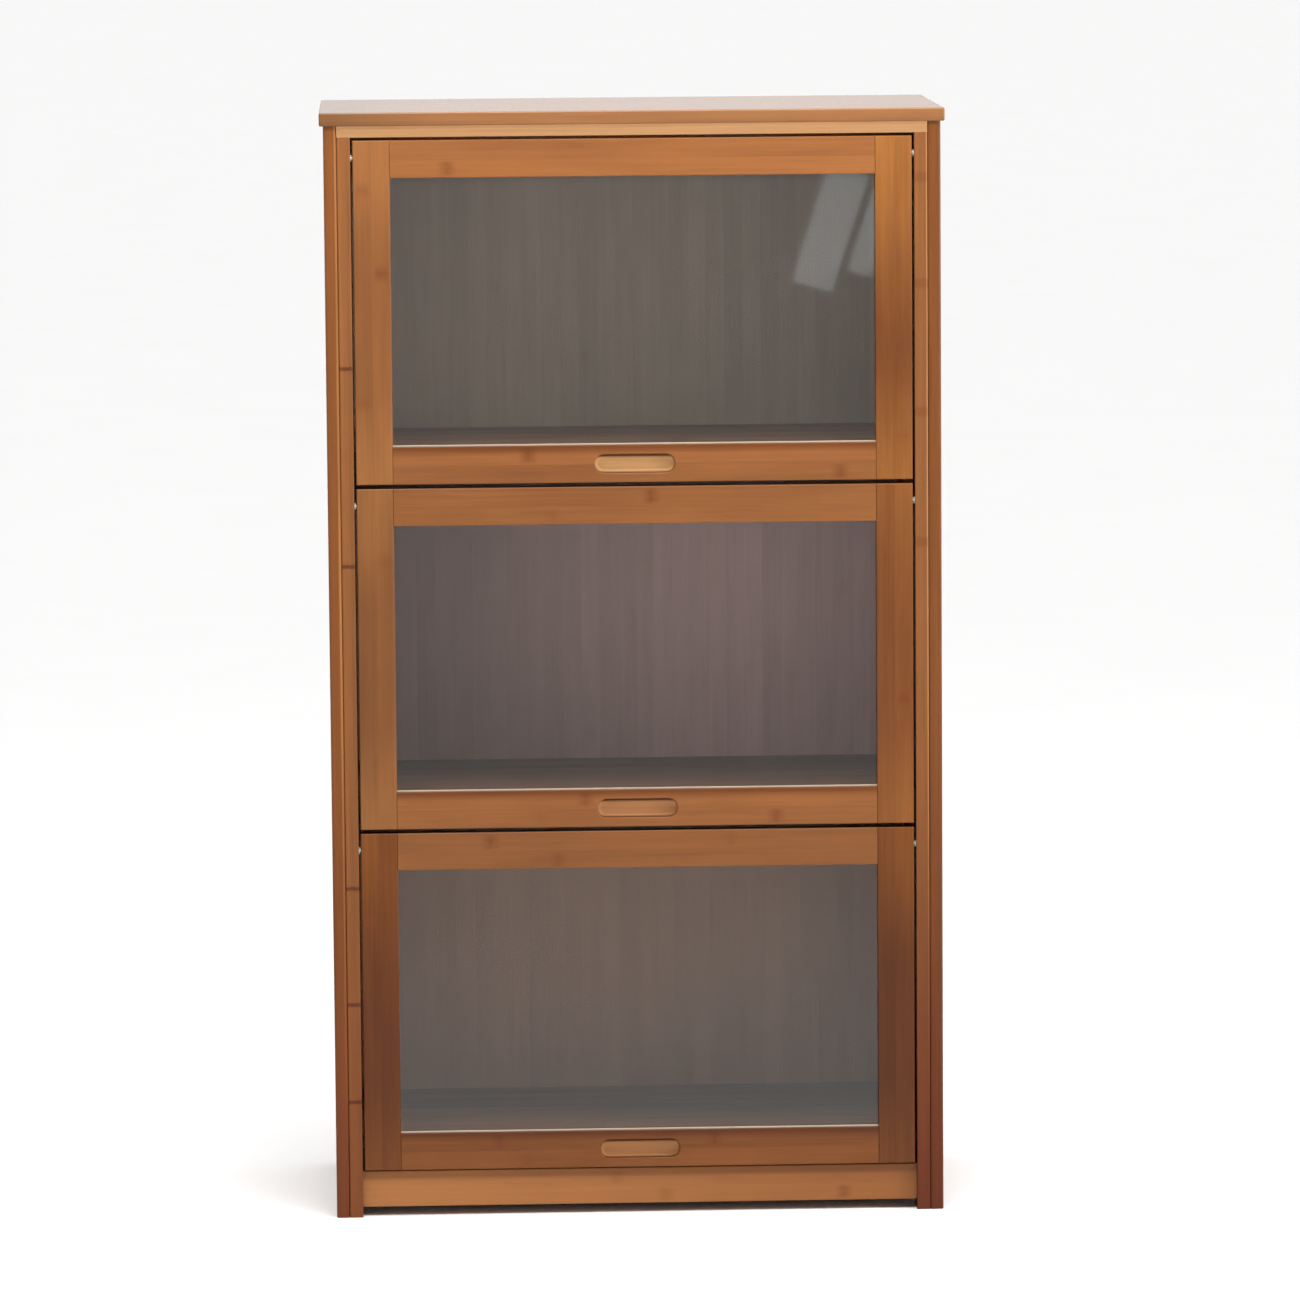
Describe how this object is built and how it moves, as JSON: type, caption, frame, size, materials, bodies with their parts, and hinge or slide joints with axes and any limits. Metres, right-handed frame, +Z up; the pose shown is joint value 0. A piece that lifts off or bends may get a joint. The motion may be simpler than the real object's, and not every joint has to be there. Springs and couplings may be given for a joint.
{
  "type": "barrister bookcase",
  "caption": "Tall upright bookcase with stacked compartments, each closed by a framed clear door that lifts up and slides back under the shelf above.",
  "frame": {"origin": "on the floor under the middle of the case", "axes": "+Z up, doors face -Y, +X to the right of someone facing the doors"},
  "size_m": [0.7, 0.34, 1.2536],
  "materials": {
    "case_bamboo": "stained bamboo strips under satin lacquer",
    "door_bamboo": "stained bamboo strips under satin lacquer",
    "back_plywood": "thin stained bamboo plywood, matt",
    "dowel_wood": "bare turned dowel",
    "clear_pane": "clear polished acrylic sheet",
    "pin_steel": "drawn steel pin",
    "nylon": "natural nylon",
    "pale_strip": "extruded cream plastic strip",
    "screw_steel": "zinc-plated screw"
  },
  "bodies": {
    "case": {"base_front_rail": "case_bamboo", "base_rear_rail": "case_bamboo", "countersunk_screws": "screw_steel", "dowels": "dowel_wood", "kick_rail": "case_bamboo", "left_base_rail": "case_bamboo", "left_door_jamb": "case_bamboo", "left_front_post": "case_bamboo", "left_lower_side_rail": "case_bamboo", "left_lower_track_rail": "case_bamboo", "left_middle_track_rail": "case_bamboo", "left_rear_jamb": "case_bamboo", "left_rear_post": "case_bamboo", "left_side_panel": "case_bamboo", "left_upper_side_rail": "case_bamboo", "left_upper_track_rail": "case_bamboo", "lower_back_panel": "back_plywood", "lower_shelf": "case_bamboo", "middle_back_panel": "back_plywood", "middle_shelf": "case_bamboo", "right_base_rail": "case_bamboo", "right_door_jamb": "case_bamboo", "right_front_post": "case_bamboo", "right_lower_side_rail": "case_bamboo", "right_lower_track_rail": "case_bamboo", "right_middle_track_rail": "case_bamboo", "right_rear_jamb": "case_bamboo", "right_rear_post": "case_bamboo", "right_side_panel": "case_bamboo", "right_upper_side_rail": "case_bamboo", "right_upper_track_rail": "case_bamboo", "top_board": "case_bamboo", "top_front_rail": "case_bamboo", "top_rear_rail": "case_bamboo", "upper_back_panel": "back_plywood", "upper_shelf": "case_bamboo"},
    "lower_carriage": {"lower_door_rollers": "nylon"},
    "lower_door": {"lower_door_bottom_rail": "door_bamboo", "lower_door_left_stile": "door_bamboo", "lower_door_pane": "clear_pane", "lower_door_pivot_pins": "pin_steel", "lower_door_right_stile": "door_bamboo", "lower_door_sill_strip": "pale_strip", "lower_door_top_rail": "door_bamboo"},
    "middle_carriage": {"middle_door_rollers": "nylon"},
    "middle_door": {"middle_door_bottom_rail": "door_bamboo", "middle_door_left_stile": "door_bamboo", "middle_door_pane": "clear_pane", "middle_door_pivot_pins": "pin_steel", "middle_door_right_stile": "door_bamboo", "middle_door_sill_strip": "pale_strip", "middle_door_top_rail": "door_bamboo"},
    "upper_carriage": {"upper_door_rollers": "nylon"},
    "upper_door": {"upper_door_bottom_rail": "door_bamboo", "upper_door_left_stile": "door_bamboo", "upper_door_pane": "clear_pane", "upper_door_pivot_pins": "pin_steel", "upper_door_right_stile": "door_bamboo", "upper_door_sill_strip": "pale_strip", "upper_door_top_rail": "door_bamboo"}
  },
  "joints": [
    {"name": "lower_door_slide", "type": "slide", "parent": "case", "child": "lower_carriage", "axis": [0, 1, 0], "range_m": [0, 0.25]},
    {"name": "lower_door_lift", "type": "hinge", "parent": "lower_carriage", "child": "lower_door", "pos_m": [0, -0.1585, 0.4205], "axis": [-1, 0, 0], "range_deg": [0, 90]},
    {"name": "middle_door_slide", "type": "slide", "parent": "case", "child": "middle_carriage", "axis": [0, 1, 0], "range_m": [0, 0.25]},
    {"name": "middle_door_lift", "type": "hinge", "parent": "middle_carriage", "child": "middle_door", "pos_m": [0, -0.1585, 0.8115], "axis": [-1, 0, 0], "range_deg": [0, 90]},
    {"name": "upper_door_slide", "type": "slide", "parent": "case", "child": "upper_carriage", "axis": [0, 1, 0], "range_m": [0, 0.25]},
    {"name": "upper_door_lift", "type": "hinge", "parent": "upper_carriage", "child": "upper_door", "pos_m": [0, -0.1585, 1.2025], "axis": [-1, 0, 0], "range_deg": [0, 90]}
  ],
  "couplings": [
    {"joint": "lower_door_slide", "follows": "lower_door_lift", "m_per_rad": 0.159},
    {"joint": "middle_door_slide", "follows": "middle_door_lift", "m_per_rad": 0.159},
    {"joint": "upper_door_slide", "follows": "upper_door_lift", "m_per_rad": 0.159}
  ]
}
